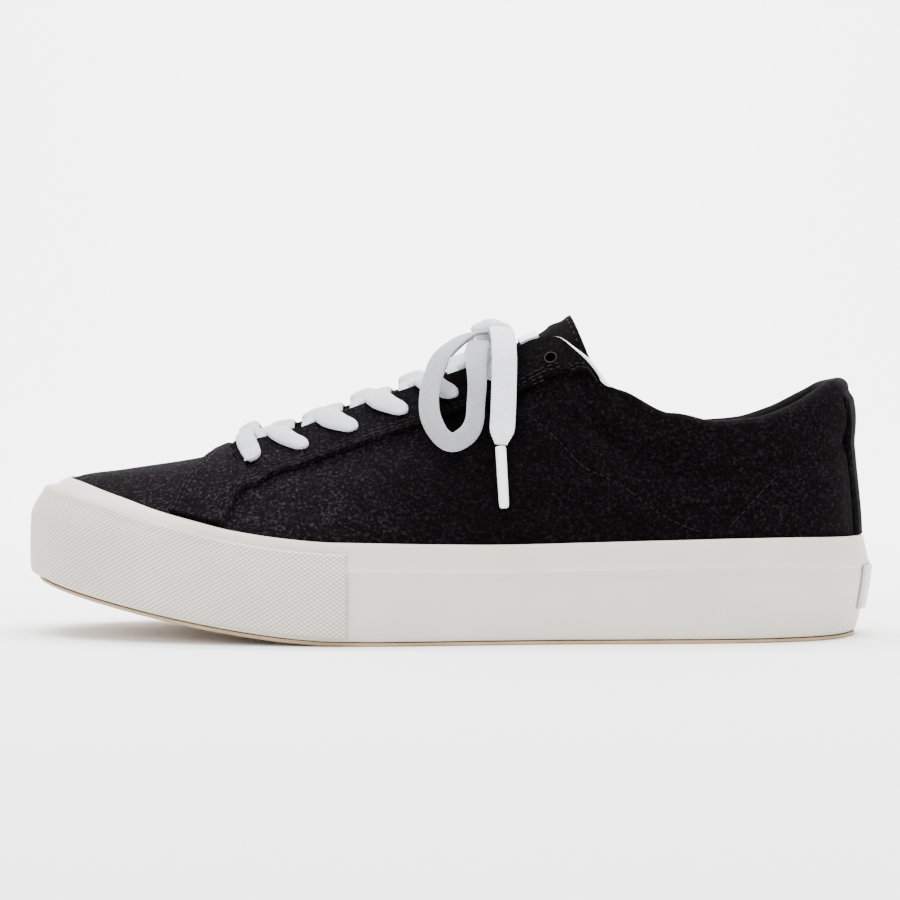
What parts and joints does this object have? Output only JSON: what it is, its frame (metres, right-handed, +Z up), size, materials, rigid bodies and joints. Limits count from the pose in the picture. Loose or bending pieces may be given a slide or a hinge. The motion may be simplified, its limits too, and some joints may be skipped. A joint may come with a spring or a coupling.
{
  "type": "low skateboarding shoe",
  "caption": "Low black suede skateboarding shoe for the left foot with a pale rubber sole, standing empty, its flat laces tied in a bow.",
  "frame": {"origin": "centre of the shoe's bounding box on the floor, under the sole", "axes": "-X towards the toe and +X towards the heel, -Y towards the outer side of the foot, +Z up"},
  "size_m": [0.296, 0.1094, 0.1108],
  "materials": {
    "outsole": "matte moulded",
    "foxing": "satin",
    "toe_bumper": "fine crosshatch",
    "heel_patch": "satin",
    "insole": "woven cover over foam",
    "upper": "suede",
    "eyestay": "suede",
    "backstay": "suede",
    "tongue": "padded woven",
    "lace_bar_front": "flat woven cotton",
    "lace_bar_top": "flat woven cotton",
    "lace_cross_1": "flat woven cotton",
    "lace_cross_2": "flat woven cotton",
    "lace_cross_3": "flat woven cotton",
    "lace_cross_4": "flat woven cotton",
    "lace_cross_5": "flat woven cotton",
    "lace_knot": "flat woven cotton",
    "lace_loop_near": "flat woven cotton",
    "lace_loop_far": "flat woven cotton",
    "lace_end_near": "flat woven cotton",
    "lace_end_far": "flat woven cotton",
    "aglet_near": "white film",
    "aglet_far": "white film",
    "tongue_label": "bare woven tab"
  },
  "bodies": {
    "root": {"outsole": "outsole", "foxing": "foxing", "toe_bumper": "toe_bumper", "heel_patch": "heel_patch", "insole": "insole", "upper": "upper", "eyestay": "eyestay", "backstay": "backstay", "tongue": "tongue", "lace_bar_front": "lace_bar_front", "lace_bar_top": "lace_bar_top", "lace_cross_1": "lace_cross_1", "lace_cross_2": "lace_cross_2", "lace_cross_3": "lace_cross_3", "lace_cross_4": "lace_cross_4", "lace_cross_5": "lace_cross_5", "lace_knot": "lace_knot", "lace_loop_near": "lace_loop_near", "lace_loop_far": "lace_loop_far", "lace_end_near": "lace_end_near", "lace_end_far": "lace_end_far", "aglet_near": "aglet_near", "aglet_far": "aglet_far", "tongue_label": "tongue_label"}
  },
  "joints": []
}
